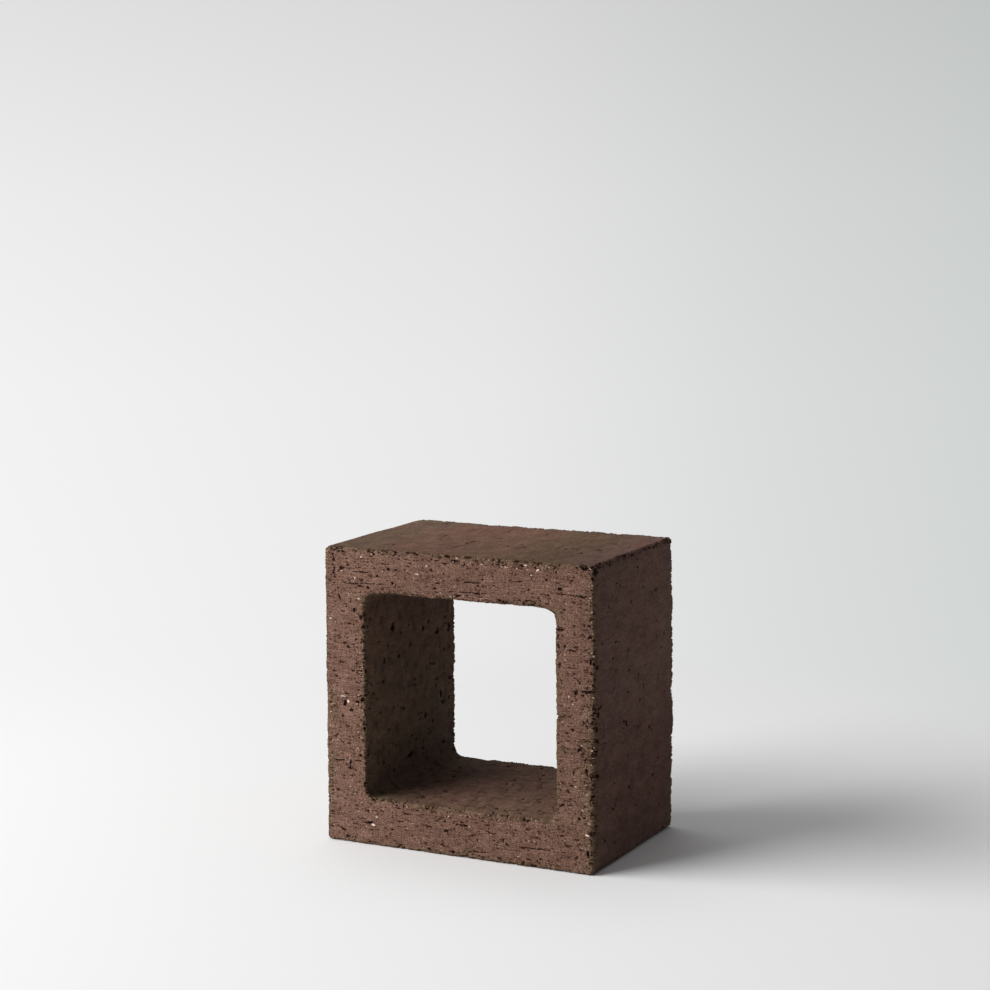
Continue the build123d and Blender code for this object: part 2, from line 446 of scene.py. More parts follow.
INNER_MARKS = [
    (-66, 134.6, -24.8, 3.6, 5.6, 0), (-66, 130.5, -27, 2.6, 1.4, 0), (-66, 128.8, -42.7, 3, 1.6, 0),
    (-66, 130.4, 23, 3, 2.2, 0), (-66, 127, 15.5, 3, 2.4, 30), (-66, 121.5, 35, 4.6, 3, 20),
    (-66, 114.5, -17.6, 3, 2.4, 0), (-66, 115, -36, 1.6, 5.4, 0), (-66, 123.7, -31, 2, 2.6, 0),
    (-66, 129.6, 46, 3, 1.8, 0), (-66, 91.8, 0.8, 12, 1.1, -6), (-66, 95, 4.2, 3, 1.4, 0),
    (-66, 89.7, 34.3, 8, 1.3, 4), (-66, 85, 32.6, 2.4, 2, 0), (-66, 86.3, 52.7, 5, 2, 0),
    (-66, 78, 39.7, 2.6, 4.6, 20), (-66, 71.7, 42, 3, 2, 0), (-66, 67.5, 18, 2.8, 3.6, 0),
    (-66, 68.4, -30.2, 3, 1.6, 0), (-66, 70.9, 11.7, 2.6, 1.6, 0), (-66, 61.6, 28.5, 2.6, 3, 0),
    (-66, 54.9, 24.3, 4, 1.4, 10), (-66, 45.7, -3.4, 7, 3, 10), (-66, 46.5, 14.2, 3, 2, 0),
    (-66, 44, 42.7, 3.6, 2.4, 0), (-66, 40, -24.3, 2.4, 2, 0), (-66, 49, -37.7, 3, 1.4, 0),
    (-66, 82.6, -42, 4, 1.6, 0), (-66, 81.8, -27.7, 6, 1, 0), (-66, 58.3, -1.7, 3, 1.6, 0),
    (-66, 78.4, -11.7, 2, 2.6, 0), (-66, 108, 44, 2.6, 1.6, 0), (-66, 103, -8, 2.4, 1.2, 0),
    (-19, 31, 48, 3, 1.8, 0), (12.7, 31, 36.6, 4, 2.4, 20), (-20, 31, 19, 2.6, 2, 0),
    (26.6, 31, -21, 3, 1.4, 0), (48, 31, -41, 2.6, 1.6, 0), (35.7, 31, -46, 2.4, 1.4, 0),
    (40, 31, -52, 2.4, 1.6, 0), (22, 31, -49, 3, 1.6, 0), (34, 31, -28, 2.4, 1.2, 0),
    (54, 31, -34, 2.2, 1.4, 0),
]

# The die opened the skins along the way out, which is a quarter turn from the way round.
OUTWARD = 90
SKIN_LENGTHS = (1.1, 3.2)
SKIN_HEIGHTS = (0.8, 2.0)
SKIN_TILT = 30
NICK_LENGTHS = (0.9, 3.2)
NICK_TILT = 25
EDGE_PITS_A_MARK = 4
FROM_EDGE = 3.5
EDGE_PIT_LENGTHS = (0.9, 2.6)
EDGE_PIT_TILT = 60
SKIN_STEEPNESS = 0.42
SKIN_CLUSTERS = (14, 20)
SKIN_RAGGED = [(0.8, 0.7, 0.8), (0.6, 0.6, 2.2)]
SKIN_DRAG = (6, 40)
SKIN_WAVES = (0.1, 50, 50)
NICK_WAVES = (1.2, 2.2)
LONG_ARRIS_REACH = 3.0


def nearest_on(loop, x, z):
    """The number of the loop's point nearest to a place."""
    return np.linalg.norm(loop - np.array([x, z]), axis=1).argmin()


def skin_marks(count, loop, run, length, own_marks, long_arrises):
    """A skin's marks by run and depth: its own ones, and random ones that crowd near its arrises."""
    marks = []
    for place_x, place_z, back, ahead, pits, _ in long_arrises:
        middle_run = run[nearest_on(loop, place_x, place_z)]
        for _ in range(pits):
            long = rng.uniform(*NICK_LENGTHS)
            place = (middle_run + rng.uniform(-back, ahead), rng.uniform(0, 2 * high.y))
            marks.append(pit(place, long, FLAT, NICK_TILT, OUTWARD))
    for place_x, place_z, place_y, long, wide, turn in own_marks:
        place = (run[nearest_on(loop, place_x, place_z)], place_y + high.y)
        marks.append((*place, long, wide, OUTWARD + turn))
    clusters = uneven(length, 2 * high.y, *SKIN_CLUSTERS)
    for u, v, long, wide, turn in scattered(count, clusters, SKIN_LENGTHS, SKIN_HEIGHTS, SKIN_TILT):
        marks.append((u, v, long, wide, OUTWARD + turn))
    for _ in range(count // EDGE_PITS_A_MARK):
        from_arris = rng.exponential(FROM_EDGE)
        depth = from_arris if rng.random() < 0.5 else 2 * high.y - from_arris
        long = rng.uniform(*EDGE_PIT_LENGTHS)
        marks.append(pit((rng.random() * length, depth), long, ROUNDER, EDGE_PIT_TILT))
    return marks


def skin_map(count, loop, run, length, own_marks, waviness, long_arrises):
    """The torn depth and the height of a skin, over the way round and y.

    A long arris is (x, z, how far its pits reach back and ahead round the block, pits, wear).
    """
    ragged = layered(length, 2 * high.y, SKIN_RAGGED)
    torn = opened(skin_marks(count, loop, run, length, own_marks, long_arrises), ragged, SKIN_STEEPNESS)
    height = layered(length, 2 * high.y, [(waviness, *SKIN_DRAG), SKIN_WAVES])
    nicked = np.clip(uneven(length, 2 * high.y, *NICK_WAVES), 0, None)
    for place_x, place_z, *_, wear in long_arrises:
        away = np.arange(height.shape[1]) * CELL - run[nearest_on(loop, place_x, place_z)]
        height -= wear * nicked * np.exp(-(away / LONG_ARRIS_REACH) ** 2)
    return torn, height


# The long arrises, left by the die's corners, are nicked too, most the upper right one.
LONG_ARRISES = [
    (95, 192, 1.9, 1.2, 130, 0.5), (-95, 192, 2, 2, 40, 0.3), (-95, 0, 2, 2, 30, 0.25),
    (95, 0, 3, 2, 40, 0.3),
]
# How many random marks each skin has, and how uneven the die's drag left it.
OUTER_COUNT = 520
OUTER_WAVINESS = 0.03
INNER_COUNT = 800
INNER_WAVINESS = 0.05
outer_torn, outer_height = skin_map(
    OUTER_COUNT, outer, outer_run, outer_length, OUTER_MARKS, OUTER_WAVINESS, LONG_ARRISES
)
inner_torn, inner_height = skin_map(
    INNER_COUNT, inner, inner_run, inner_length, INNER_MARKS, INNER_WAVINESS, []
)

# Close to the cuts the skins crumbled and sagged, most at the back, where the wire came out. A rim
# is how far the skin has sunk at its edge, and how wide the sunk strip is.
FRONT_RIM_WIDTH = 2.0
BACK_RIM_WIDTH = 3.5
MOST_SUNK = 1.1
# An edge's sinking: typical, its fine and its broad unevenness, and its jags.
OUTER_FRONT_SUNK = (0.0, 0.16, 0.1, 0.15)
INNER_FRONT_SUNK = (0.0, 0.16, 0.1, 0.12)
OUTER_BACK_SUNK = (0.2, 0.25, 0.3, 0.28)
INNER_BACK_SUNK = (0.2, 0.28, 0.32, 0.25)


def rim(loop, run, length, sizes):
    """How far a skin has sunk along its edge, in millimetres, as one column."""
    typical, fine, broad, jag = sizes
    return np.clip(along_arris(loop, run, length, typical, fine, broad, [], jag), 0, MOST_SUNK)[:, None]


outer_front_rim = rim(outer, outer_run, outer_length, OUTER_FRONT_SUNK)
inner_front_rim = rim(inner, inner_run, inner_length, INNER_FRONT_SUNK)
outer_back_rim = rim(outer, outer_run, outer_length, OUTER_BACK_SUNK)
inner_back_rim = rim(inner, inner_run, inner_length, INNER_BACK_SUNK)


# Broken arrises
# Grit tore bites out of the arrises, and the drying floor broke more from the back ones. Each bite
# takes a ragged bevel off the rounded arris. One back corner is rubbed round.
CORNER_WEAR = 4.5
CORNER_WEAR_RADIUS = 12.0
# How far the middle of a rounded arris lies from its two faces, added together, in radii.
ARC_MIDDLE = 2 - 2 ** 0.5
# The larger bites as they lie on this block: (x, z, length, depth).
FRONT_OUTER_BITES = [
    (96, 114, 5, 1.4), (96, 133, 4, 0.9), (95, 103, 6, 1.8), (95, 95, 5, 1.4), (95, 84, 5, 1.2),
    (95, 75, 5, 1.2), (95, 63, 5, 1.2), (95, 48, 6, 1.2), (95, 38, 5, 1.0), (5, 0, 5, 0.9),
    (53, 0, 5, 1.4), (-94, 0, 4, 0.8), (-82, 192, 4, 0.8), (-60, 192, 5, 0.9), (-45, 192, 7, 0.8),
    (-31, 192, 6, 0.9), (-5, 192, 5, 0.9), (12, 192, 5, 0.9), (57, 192, 4, 0.9), (89, 192, 6, 1.2),
    (94, 186, 5, 0.8),
]
FRONT_INNER_BITES = [
    (-66, 36, 5, 1.1), (-62, 32, 5, 1.0), (-48, 31, 5, 0.8), (-66, 141, 4, 1.2), (-66, 97, 5, 1.2),
    (-66, 148, 4, 0.9), (-66, 75, 4, 1.0), (-66, 66, 5, 0.8), (68, 97, 3, 1.2), (-66, 126, 4, 0.8),
    (-22, 31, 4, 0.8), (34, 31, 4, 0.9), (48, 31, 4, 1.0), (48, 163, 5, 0.9), (36, 163, 5, 0.7),
    (66, 161, 5, 0.7),
]
BACK_INNER_BITES = [
    (-66, 48, 8, 2.8), (-66, 109, 4, 1.6), (-66, 94, 4, 1.5), (-66, 80, 4, 1.5), (-66, 120, 6, 0.9),
    (-66, 66, 4, 1.0), (20, 31, 6, 1.0), (-30, 31, 6, 0.9),
]
BACK_OUTER_BITES = [
    (95, 91.5, 4, 2.2), (95, 142.5, 5, 1.7), (95, 166, 6, 1.7), (95, 185, 4, 1.6), (95, 130, 5, 0.9),
    (95, 20, 6, 0.9), (95, 64, 5, 0.8), (0, 192, 22, 1.5), (40, 192, 7, 0.8), (-60, 192, 6, 0.8),
    (70, 192, 5, 0.8), (-90, 192, 11, 1.6),
]
BITE_LIMIT = 3.5
BITE_RAGGED = 0.5
# Each arris: whether it is an inner one, whether it is a front one, its own bites, and the typical
# bite all along it, its fine and its broad unevenness, and its jags.
ARRIS_BITES = [
    (False, True, FRONT_OUTER_BITES, 0.1, 0.45, 0.3, 0.4),
    (True, True, FRONT_INNER_BITES, 0.1, 0.45, 0.5, 0.3),
    (False, False, BACK_OUTER_BITES, 0.3, 0.45, 0.4, 0.9),
    (True, False, BACK_INNER_BITES, 0.3, 0.6, 0.4, 0.9),
]


# The block as one mesh
# The net of points takes the relief and the broken arrises, is thinned to what the shapes need,
# and gets one flat sheet for its surface, where every face lies at the same scale.
# The surface lies this far inside the solid's faces, which leaves room for its relief.
RECESS = 0.1
TRIANGLES = 186000
SHARP_ANGLE = radians(50)
# How far the rubbed look of an arris reaches over the faces, in radii, and further where it was
# handled rounder. At the back it is weaker, and more of a bite is darkened like a torn hollow, with
# painted shade.
NEAR_ARRIS = 3.3
HANDLED_SPREAD = 3
HANDLED_LESS = 3.2
RUBBED_STRENGTH = 1.4
FRONT_BITE_SHADE = 0.12
BACK_BITE_SHADE = 0.3
BACK_RUBBED_SHARE = 0.3

run_outer = np.broadcast_to(outer_run[:, None], x.shape)
run_inner = np.broadcast_to(inner_run[:, None], x.shape)
depth = y + high.y


def either(choice, maps, u, v):
    """Reads the first of two maps where the choice holds, and the second elsewhere."""
    return np.where(choice, read_map(maps[0], u[0], v), read_map(maps[1], u[1], v))


along_x = (x + high.x, x + high.x)
along_run = (run_inner, run_outer)
cut_torn = either(is_front, (front_torn, back_torn), along_x, z)
cut_height = either(is_front, (front_height, back_height), along_x, z)
skin_torn = either(is_inner, (inner_torn, outer_torn), along_run, depth)
skin_height = either(is_inner, (inner_height, outer_height), along_run, depth)
torn = cut_torn * is_cut + skin_torn * is_skin
front_rim = np.where(is_inner, inner_front_rim, outer_front_rim)
back_rim = np.where(is_inner, inner_back_rim, outer_back_rim)
skin_height -= front_rim * np.exp(-(depth / FRONT_RIM_WIDTH) ** 2)
skin_height -= back_rim * np.exp(-((2 * high.y - depth) / BACK_RIM_WIDTH) ** 2)

outward = np.where(is_inner[:, None], inner_out[:, None], outer_out[:, None])
end = np.where(is_front, -1.0, 1.0)
skin_move = (skin_height - skin_torn - RECESS) * is_skin
cut_move = (cut_height - cut_torn - RECESS) * is_cut
points = np.stack([
    x + outward[..., 0] * skin_move,
    y + end * cut_move,
    z + outward[..., 1] * skin_move,
], -1)
near_arris = np.zeros(x.shape)
for on_inner, on_front, own_bites, typical, fine, broad, jag in ARRIS_BITES:
    line, run, length = (inner, inner_run, inner_length) if on_inner else (outer, outer_run, outer_length)
    sizes = along_arris(line, run, length, typical, fine, broad, own_bites, jag)
    radius = np.where(on_front, front_radius, back_radius)
    here = (is_inner == on_inner) & (is_front == on_front)
    from_arris = np.linalg.norm(section - line[:, None], axis=-1) + high.y - np.abs(y)
    ragged = read_map(face_ragged, run_outer, from_arris + high.y)
    bite = np.clip(sizes[:, None], 0, BITE_LIMIT) * (1 + BITE_RAGGED * ragged)
    lack = np.clip(radius * ARC_MIDDLE + bite - from_arris, 0, None) / 2 * here * (bite > 0)
    points[..., 0] -= outward[..., 0] * lack
    points[..., 1] -= end * lack
    points[..., 2] -= outward[..., 1] * lack
    torn = np.maximum(torn, (FRONT_BITE_SHADE if on_front else BACK_BITE_SHADE) * lack)
    reach = NEAR_ARRIS * np.maximum(radius, HANDLED_SPREAD * radius - HANDLED_LESS)
    rubbed = np.clip(RUBBED_STRENGTH * (1 - from_arris / reach), 0, 1) * here
    near_arris = np.maximum(near_arris, rubbed * (1 if on_front else BACK_RUBBED_SHARE))

inset = (CORNER_WEAR + np.sqrt(3 * CORNER_WEAR_RADIUS ** 2 - 2 * CORNER_WEAR ** 2)) / 3
ball_centre = np.array([high.x - RIGHT_BELLY, high.y, high.z]) - inset
from_ball = points - ball_centre
distance = np.linalg.norm(from_ball, axis=-1)
is_rubbed = (from_ball > 0).all(-1) & (distance > CORNER_WEAR_RADIUS)
rubbed = ball_centre + from_ball * (CORNER_WEAR_RADIUS / np.maximum(distance, 1))[..., None]
points = np.where(is_rubbed[..., None], rubbed, points)


def mesh_from(name, vertices, polygons):
    """A mesh from a table of vertices in millimetres and a table of equally large polygons."""
    mesh = bpy.data.meshes.new(name)
    mesh.vertices.add(len(vertices))
    mesh.vertices.foreach_set("co", (vertices * MM).astype(np.float32).ravel())
    mesh.loops.add(polygons.size)
    mesh.loops.foreach_set("vertex_index", polygons.astype(np.int32).ravel())
    mesh.polygons.add(len(polygons))
    starts = np.arange(0, polygons.size, polygons.shape[1], dtype=np.int32)
    mesh.polygons.foreach_set("loop_start", starts)
    mesh.update(calc_edges=True)
    return mesh


number = np.arange(x.size).reshape(x.shape)
next_round = np.roll(number, -1, 0)
quads = np.stack([number, np.roll(number, -1, 1), np.roll(next_round, -1, 1), next_round], -1)
net = mesh_from("net", points.reshape(-1, 3), quads.reshape(-1, 4))
for name, values in (("torn", torn), ("cut", is_cut), ("inner", is_inner), ("arris", near_arris)):
    attribute = net.attributes.new(name, "FLOAT", "POINT")
    attribute.data.foreach_set("value", np.broadcast_to(values, x.shape).astype(np.float32).ravel())
netting = bpy.data.objects.new("netting", net)
bpy.context.scene.collection.objects.link(netting)
thinned = netting.modifiers.new("thinned", "DECIMATE")
thinned.ratio = TRIANGLES / (2 * x.size)
thinned.use_collapse_triangulate = True
graph = bpy.context.evaluated_depsgraph_get()
skin = bpy.data.meshes.new_from_object(netting.evaluated_get(graph))
bpy.data.objects.remove(netting)
skin.name = "screen_block_clay"

# Thinning can push a point out by a hundredth of a millimetre, so the block is trimmed to its box.
spots = np.zeros(len(skin.vertices) * 3, np.float32)
skin.vertices.foreach_get("co", spots)
spots = np.clip(spots.reshape(-1, 3) / MM, np.array(low), np.array(high))
skin.vertices.foreach_set("co", (spots * MM).astype(np.float32).ravel())
triangles = np.zeros(len(skin.loops), np.int32)
skin.loops.foreach_get("vertex_index", triangles)
triangles = triangles.reshape(-1, 3)

# The sheet is 528 mm square, with the two cut faces in its bottom row, the four outer skins side by
# side in the next, and the four inner ones above. Its first direction goes along the marks: to the
# right on the cut faces, and front to back on the skins.
SHEET = 528.0
BACK_ACROSS = 194
STRIP = 125
OUTER_ROW = 195
INNER_ROW = 390
half_height = high.z / 2
half_opening = (high.x - WALL_RIGHT, (high.z - WALL_TOP - WALL_BOTTOM) / 2)
opening_middle = WALL_BOTTOM + half_opening[1]


def read_values(mesh, name):
    """A mesh's float values, one for each vertex."""
    values = np.zeros(len(mesh.vertices), np.float32)
    mesh.attributes[name].data.foreach_get("value", values)
    return values


middle = spots[triangles].mean(1)
on_cut = read_values(skin, "cut")[triangles].mean(1) > 0.5
on_inside = read_values(skin, "inner")[triangles].mean(1) > 0.5
in_front = middle[:, 1] < 0
aside = np.abs(middle[:, 0])
beside_outer = aside / high.x > np.abs(middle[:, 2] - half_height) / half_height
beside_inner = aside / half_opening[0] > np.abs(middle[:, 2] - opening_middle) / half_opening[1]
beside = np.where(on_inside, beside_inner, beside_outer)
above = middle[:, 2] > np.where(on_inside, opening_middle, half_height)
to_right = middle[:, 0] > 0
outer_skin = ~on_cut & ~on_inside
inner_skin = ~on_cut & on_inside
X, Y, Z = np.eye(3)
# A chart is (its faces, the way along the sheet, the way up it, its corner on the sheet).
charts = [
    (on_cut & in_front, X, Z, (high.x, 0)),
    (on_cut & ~in_front, -X, Z, (BACK_ACROSS + high.x, 0)),
    (outer_skin & beside & ~to_right, -Y, Z, (high.y, OUTER_ROW)),
    (outer_skin & beside & to_right, Y, Z, (STRIP + high.y, OUTER_ROW)),
    (outer_skin & ~beside & above, Y, -X, (2 * STRIP + high.y, OUTER_ROW + high.x)),
    (outer_skin & ~beside & ~above, Y, X, (3 * STRIP + high.y, OUTER_ROW + high.x)),
    (inner_skin & beside & ~to_right, Y, Z, (high.y, INNER_ROW - WALL_BOTTOM)),
    (inner_skin & beside & to_right, -Y, Z, (STRIP + high.y, INNER_ROW - WALL_BOTTOM)),
    (inner_skin & ~beside & ~above, Y, -X, (2 * STRIP + high.y, INNER_ROW + half_opening[0])),
    (inner_skin & ~beside & above, Y, X, (3 * STRIP + high.y, INNER_ROW + half_opening[0])),
]
sheet_place = np.zeros((*triangles.shape, 2))
for chosen, u_axis, v_axis, corner in charts:
    flat = np.stack([spots @ u_axis, spots @ v_axis], -1) + np.array(corner)
    sheet_place[chosen] = flat[triangles[chosen]] / SHEET
sheet = skin.uv_layers.new(name="OFBake")
sheet.data.foreach_set("uv", sheet_place.astype(np.float32).ravel())
skin.shade_smooth()
skin.set_sharp_from_angle(angle=SHARP_ANGLE)
block = bpy.data.objects.new("screen_block_clay", skin)
bpy.context.scene.collection.objects.link(block)


# Fired clay
# Dark iron-rich brick clay with crushed grog in it, unglazed. It is dull and open: the cut faces are
# speckled with torn pores, dark with painted shade, and pale grit, and the skins are closer, darker
# and smoother.


def colour(code):
    """A linear colour, with alpha, from an sRGB hex code."""
    parts = [int(code[place:place + 2], 16) / 255 for place in (1, 3, 5)]
    linear = [part / 12.92 if part <= 0.04045 else ((part + 0.055) / 1.055) ** 2.4 for part in parts]
    return (*linear, 1)


def add(tree, kind, links=(), out=0, stops=(), **settings):
    """Adds a node with its settings and links, (input: value or output), and gives one output.

    The stops are those of a colour ramp, (place, hex code), in rising order.
    """
    node = tree.nodes.new(kind)
    for name, value in settings.items():
        setattr(node, name, value)
    for name, value in dict(links).items():
        if isinstance(value, bpy.types.NodeSocket):
            tree.links.new(value, node.inputs[name])
        else:
            node.inputs[name].default_value = value
    for number, (place, code) in enumerate(stops):
        element = node.color_ramp.elements[number] if number < 2 else node.color_ramp.elements.new(place)
        element.position = place
        element.color = colour(code)
    return node.outputs[out]


def new_material(name):
    """An empty material, its node tree and its output node."""
    material = bpy.data.materials.new(name)
    material.use_nodes = True
    material.node_tree.nodes.clear()
    return material, material.node_tree, material.node_tree.nodes.new("ShaderNodeOutputMaterial")


clay, tree, clay_output = new_material("fired_clay")
sheet_uv = add(tree, "ShaderNodeUVMap", uv_map="OFBake")
sheet_mm = add(tree, "ShaderNodeVectorMath", {0: sheet_uv, 1: (SHEET,) * 3}, operation="MULTIPLY")
body_place = add(tree, "ShaderNodeTexCoord", out="Object")
body_mm = add(tree, "ShaderNodeVectorMath", {0: body_place, 1: (1 / MM,) * 3}, operation="MULTIPLY")
cut_share = add(tree, "ShaderNodeAttribute", attribute_name="cut", out="Fac")
torn_depth = add(tree, "ShaderNodeAttribute", attribute_name="torn", out="Fac")
arris_share = add(tree, "ShaderNodeAttribute", attribute_name="arris", out="Fac")

# The tone goes from 0, the black of painted shade in a deep pore, through 0.5, the body, to 1, bare
# pale grit. Each stroke of it is (real size along the drag, size across it, finer octaves, how far it
# lifts and lowers the tone on the cut faces, and how far on the skins). The first is the grit of the
# clay: it is 0.2 mm, and drawn at 0.7 to 1 mm, so that it shows. The others are small blotches, the
# wire's drag lines, the cloudiness of the body, and the upright chatter of the wire.
STROKES = [
    (1.0, 0.7, 1.0, 0.95, 0.52), (3.4, 2.2, 1.0, 0.22, 0.26), (11.0, 0.9, 2.0, 0.5, 0.22),
    (16.0, 10.0, 3.0, 0.35, 0.42), (1.3, 6.0, 1.0, 0.28, 0.1),
]
STROKES_APART = 7.0
STROKES_WITH_RELIEF = 3
tone = 0.5
height = 0.0
grain = None
for order, (along, across, octaves, on_cut_face, on_skin_face) in enumerate(STROKES):
    scale = (1 / along, 1 / across, 1 / across)
    links = {0: sheet_mm, 1: scale, 2: (STROKES_APART * order,) * 3}
    place = add(tree, "ShaderNodeVectorMath", links, operation="MULTIPLY_ADD")
    links = {"Vector": place, "Scale": 1.0, "Detail": octaves, "Roughness": 0.65}
    wave = add(tree, "ShaderNodeTexNoise", links)
    wave = add(tree, "ShaderNodeMath", {0: wave, 1: 0.5}, operation="SUBTRACT")
    grain = wave if grain is None else grain
    links = {"Value": cut_share, "To Min": on_skin_face, "To Max": on_cut_face}
    amount = add(tree, "ShaderNodeMapRange", links)
    stroke = add(tree, "ShaderNodeMath", {0: wave, 1: amount}, operation="MULTIPLY")
    tone = add(tree, "ShaderNodeMath", {0: stroke, 1: tone}, operation="ADD")
    if order < STROKES_WITH_RELIEF:
        height = add(tree, "ShaderNodeMath", {0: stroke, 1: height}, operation="ADD")

# Pores and grit crowd together in places about 10 by 6 mm large, and along the arrises.
CROWD_SCALE = (1 / 10, 1 / 6, 1)
CROWDING = {"From Min": 0.35, "From Max": 0.65, "To Min": 0.3, "To Max": 1.7}
crowd_place = add(tree, "ShaderNodeVectorMath", {0: sheet_mm, 1: CROWD_SCALE}, operation="MULTIPLY")
crowd = add(tree, "ShaderNodeTexNoise", {"Vector": crowd_place, "Scale": 1.0, "Detail": 2.0})
crowd = add(tree, "ShaderNodeMapRange", {"Value": crowd, **CROWDING})
crowd = add(tree, "ShaderNodeMath", {0: arris_share, 1: crowd}, operation="ADD")
LEAST_SPOT = 0.4
SPOT_RAGGED = 1.1
SPOT_EDGE = {"From Min": -0.03, "From Max": 0.07}


def ragged_spots(along, across, size, chance, start):
    """A mask of ragged spots, in some of the cells of a pattern, each up to a share of its cell."""
    scale = (1 / along, 1 / across, 1 / across)
    links = {0: sheet_mm, 1: scale, 2: (start,) * 3}
    place = add(tree, "ShaderNodeVectorMath", links, operation="MULTIPLY_ADD")
    away = add(tree, "ShaderNodeTexVoronoi", {"Vector": place, "Scale": 1.0}, out="Distance")
    cell = add(tree, "ShaderNodeSeparateColor", {0: away.node.outputs["Color"]})
    own_chance = add(tree, "ShaderNodeMath", {0: crowd, 1: chance}, operation="MULTIPLY")
    chosen = add(tree, "ShaderNodeMath", {0: cell, 1: own_chance}, operation="LESS_THAN")
    links = {0: cell.node.outputs[1], 1: size * (1 - LEAST_SPOT), 2: size * LEAST_SPOT}
    reach = add(tree, "ShaderNodeMath", links, operation="MULTIPLY_ADD")
    reach = add(tree, "ShaderNodeMath", {0: grain, 1: SPOT_RAGGED, 2: reach}, operation="MULTIPLY_ADD")
    inside = add(tree, "ShaderNodeMath", {0: reach, 1: away}, operation="SUBTRACT")
    links = {"Value": inside, **SPOT_EDGE}
    mask = add(tree, "ShaderNodeMapRange", links, interpolation_type="SMOOTHSTEP")
    return add(tree, "ShaderNodeMath", {0: mask, 1: chosen}, operation="MULTIPLY")


# Torn pores: dashes of 3 mm, short ones of 1.5 mm and pinholes of half a millimetre. A kind is (its
# pattern's cell along the drag, and across it, size, chance in a cell, where the pattern starts).
PORES = [(4.0, 1.3, 0.4, 0.16, 3.0), (2.2, 1.2, 0.45, 0.16, 11.0), (1.3, 1.0, 0.4, 0.12, 17.0)]
pores = 0.0
for along, across, size, chance, start in PORES:
    mask = ragged_spots(along, across, size, chance, start)
    pores = add(tree, "ShaderNodeMath", {0: mask, 1: pores}, operation="MAXIMUM")
PORES_ON_SKIN = 0.4
pore_share = add(tree, "ShaderNodeMapRange", {"Value": cut_share, "To Min": PORES_ON_SKIN})
pores = add(tree, "ShaderNodeMath", {0: pores, 1: pore_share}, operation="MULTIPLY")

# Specks of pale crushed grog, 0.3 to 1 mm, laid bare by the wire. The table is like a kind of pores.
SPECKS = (1.6, 1.2, 0.34, 0.12, 23.0)
SPECKS_ON_SKIN = 0.05
specks = ragged_spots(*SPECKS)
speck_share = add(tree, "ShaderNodeMapRange", {"Value": cut_share, "To Min": SPECKS_ON_SKIN})
specks = add(tree, "ShaderNodeMath", {0: specks, 1: speck_share}, operation="MULTIPLY")

# A torn hollow gets painted shade, blackest inside, and the grain breaks its rim. Pores and hollows
# darken the tone with painted shade, and specks and the rubbed arrises make it paler.
RIM_RAGGED = 0.7
HOLLOWED = {"From Min": 0.1, "From Max": 0.45}
# Painted shade in pores and torn hollows.
PORE_SHADE = 0.34
HOLLOW_SHADE = 0.42
SPECK_PALER = 0.3
ARRIS_PALER = 0.05
torn_rim = add(tree, "ShaderNodeMath", {0: grain, 1: RIM_RAGGED, 2: torn_depth}, operation="MULTIPLY_ADD")
hollow = add(tree, "ShaderNodeMapRange", {"Value": torn_rim, **HOLLOWED})
pit_shade = add(tree, "ShaderNodeMath", {0: pores, 1: PORE_SHADE}, operation="MULTIPLY")
pit_shade = add(tree, "ShaderNodeMath", {0: hollow, 1: HOLLOW_SHADE, 2: pit_shade}, operation="MULTIPLY_ADD")
tone = add(tree, "ShaderNodeMath", {0: tone, 1: pit_shade}, operation="SUBTRACT")
tone = add(tree, "ShaderNodeMath", {0: specks, 1: SPECK_PALER, 2: tone}, operation="MULTIPLY_ADD")
tone = add(tree, "ShaderNodeMath", {0: arris_share, 1: ARRIS_PALER, 2: tone}, operation="MULTIPLY_ADD")
CLAY_TONES = [(0.0, "#1B0D09"), (0.2, "#3D251C"), (0.5, "#705547"), (0.72, "#8C7061"), (1.0, "#C8B2A2")]
clay_colour = add(tree, "ShaderNodeValToRGB", {0: tone}, stops=CLAY_TONES)

# The skins darken towards the right end, and the cut faces a little, from their left end to the
# middle: this is painted shade, where the light of the lamp on the left falls off. The left wall of
# the opening is darker too, most low down, with the floor beside it: painted shade in the opening.
# The outer skins are a little paler towards the back, and darker and redder low down. Patches about
# 40 mm across lean to a purplish grey, to red and to olive, dark smudges lie in the opening, and the
# rubbed arrises are olive. Each of these is a tint that the clay's colour is multiplied by, over the
# width, the depth or the height.
TINTING = {"out": 2, "data_type": "RGBA", "blend_type": "MULTIPLY"}
BLENDING = {"out": 2, "data_type": "RGBA"}
# Painted shade: the skins darken towards the right end, away from the lamp, while their hue drifts from
# greenish through reddish and olive to a purplish grey.
SKIN_HUE_AND_SHADE = [
    (0.0, "#F8FAF6"), (0.07, "#EFFDF5"), (0.15, "#F1FBF4"), (0.22, "#FDF8F4"), (0.45, "#F8F1EE"),
    (0.6, "#F5F1EA"), (0.69, "#E3E9D8"), (0.83, "#D8DCD0"), (0.97, "#E6E4EE"),
]
# The outer skins get paler towards the back, and darker and redder low down.
SKIN_TINT_BACKWARD = [(0.05, "#EDEDED"), (0.3, "#EEEEEE"), (0.66, "#FBFBFB"), (0.8, "#FFFFFF")]
SKIN_TINT_UPWARD = [(0.03, "#FAFAFA"), (0.18, "#EEE7E5"), (0.38, "#EEE9E7"), (0.52, "#FFFFFF")]
# Painted shade in the opening: its left wall darkest low down, and the floor beside that wall.
INSIDE_SHADE = [
    (0.15, "#BCC1BF"), (0.172, "#CFDAD6"), (0.2, "#E2F2EA"), (0.3, "#E4E4E2"), (0.42, "#FFFFFF"),
    (0.6, "#FDFFFE"),
]
